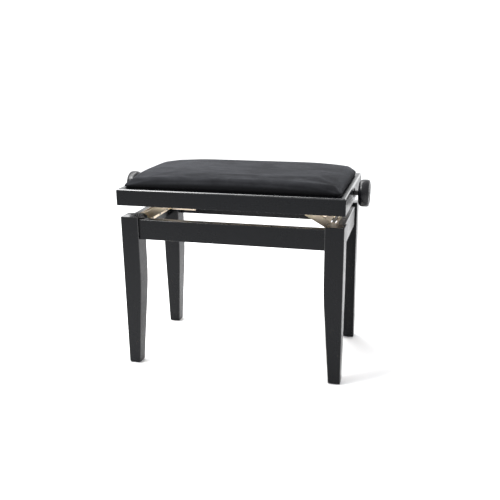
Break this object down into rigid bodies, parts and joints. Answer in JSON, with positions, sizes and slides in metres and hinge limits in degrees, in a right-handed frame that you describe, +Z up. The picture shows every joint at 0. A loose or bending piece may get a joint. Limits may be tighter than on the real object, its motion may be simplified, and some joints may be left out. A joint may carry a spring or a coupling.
{
  "type": "piano bench",
  "caption": "Adjustable piano bench with tapered square legs, mitred seat frame, velvet cushion and a knob-driven lifting linkage.",
  "frame": {"origin": "on the floor at the middle of the bench's footprint", "axes": "+X along the spindle to the right-hand knob, -Y to the front, +Z up"},
  "size_m": [0.6252, 0.337, 0.492],
  "materials": {
    "black_lacquer": "satin black lacquer over close-grained hardwood",
    "beech": "bare planed hardwood",
    "plywood": "bare plywood",
    "yellow_zinc_steel": "yellow-passivated zinc plate on sheet steel",
    "zinc_steel": "bright zinc plate",
    "black_steel": "oiled black oxide on steel",
    "foam": "open-cell foam",
    "black_velvet": "short-pile velvet",
    "knob_plastic": "satin moulded plastic",
    "glide_plastic": "moulded nylon"
  },
  "bodies": {
    "base": {"leg_front_left": "black_lacquer", "leg_front_right": "black_lacquer", "leg_rear_left": "black_lacquer", "leg_rear_right": "black_lacquer", "rail_front": "black_lacquer", "rail_rear": "black_lacquer", "rail_left": "black_lacquer", "rail_right": "black_lacquer", "rail_dowels": "beech", "floor_glides": "glide_plastic", "lower_bracket_left": "yellow_zinc_steel", "lower_bracket_right": "yellow_zinc_steel", "lower_bracket_screws": "zinc_steel", "base_pin_left": "zinc_steel", "base_pin_right": "zinc_steel"},
    "arm_left": {"lift_arm_left": "yellow_zinc_steel", "centre_pin_left": "zinc_steel"},
    "arm_right": {"lift_arm_right": "yellow_zinc_steel", "centre_pin_right": "zinc_steel"},
    "linkage_left": {"link_left": "yellow_zinc_steel", "seat_studs_left": "zinc_steel"},
    "linkage_right": {"link_right": "yellow_zinc_steel", "seat_studs_right": "zinc_steel"},
    "nut_left": {"nut_bar_left": "zinc_steel", "nut_clips_left": "zinc_steel"},
    "nut_right": {"nut_bar_right": "zinc_steel", "nut_clips_right": "zinc_steel"},
    "seat": {"seat_frame_front": "black_lacquer", "seat_frame_rear": "black_lacquer", "seat_frame_left": "black_lacquer", "seat_frame_right": "black_lacquer", "seat_corner_blocks": "beech", "seat_board": "plywood", "seat_board_screws": "zinc_steel", "cushion_foam": "foam", "cushion_cover": "black_velvet", "upper_bracket_left": "yellow_zinc_steel", "upper_bracket_right": "yellow_zinc_steel", "upper_bracket_screws": "zinc_steel", "spindle_bush_left": "glide_plastic", "spindle_bush_right": "glide_plastic"},
    "spindle": {"spindle": "black_steel", "spindle_collars": "black_steel", "collar_screws": "black_steel", "knob_left": "knob_plastic", "knob_right": "knob_plastic", "knob_screws": "zinc_steel", "knob_caps": "knob_plastic"}
  },
  "joints": [
    {"name": "spindle_turn", "type": "hinge", "parent": "seat", "child": "spindle", "pos_m": [0, 0, 0.4385], "axis": [1, 0, 0], "range_deg": [-1626, 3906]},
    {"name": "arm_left_swing", "type": "hinge", "parent": "base", "child": "arm_left", "pos_m": [-0.234, 0, 0.376], "axis": [0, -1, 0], "range_deg": [-13.5, 32.5]},
    {"name": "link_left_swing", "type": "hinge", "parent": "arm_left", "child": "linkage_left", "pos_m": [-0.17877, 0, 0.40725], "axis": [0, 1, 0], "range_deg": [-27.1, 65.1]},
    {"name": "seat_pivot", "type": "hinge", "parent": "linkage_left", "child": "seat", "pos_m": [-0.234, 0, 0.4385], "axis": [0, -1, 0], "range_deg": [-13.55, 32.55]},
    {"name": "nut_left_swivel", "type": "hinge", "parent": "arm_left", "child": "nut_left", "pos_m": [-0.12353, 0, 0.4385], "axis": [0, 1, 0], "range_deg": [-13.55, 32.55]},
    {"name": "arm_right_swing", "type": "hinge", "parent": "base", "child": "arm_right", "pos_m": [0.234, 0, 0.376], "axis": [0, 1, 0], "range_deg": [-13.55, 32.55]},
    {"name": "link_right_swing", "type": "hinge", "parent": "arm_right", "child": "linkage_right", "pos_m": [0.17877, 0, 0.40725], "axis": [0, -1, 0], "range_deg": [-27.1, 65.1]},
    {"name": "nut_right_swivel", "type": "hinge", "parent": "arm_right", "child": "nut_right", "pos_m": [0.12353, 0, 0.4385], "axis": [0, -1, 0], "range_deg": [-13.55, 32.55]}
  ],
  "couplings": [
    {"joint": "spindle_turn", "follows": "arm_left_swing", "ratio": 120},
    {"joint": "link_left_swing", "follows": "arm_left_swing", "ratio": 2},
    {"joint": "seat_pivot", "follows": "arm_left_swing", "ratio": 1},
    {"joint": "nut_left_swivel", "follows": "arm_left_swing", "ratio": 1},
    {"joint": "arm_right_swing", "follows": "arm_left_swing", "ratio": 1},
    {"joint": "link_right_swing", "follows": "arm_left_swing", "ratio": 2},
    {"joint": "nut_right_swivel", "follows": "arm_left_swing", "ratio": 1}
  ]
}
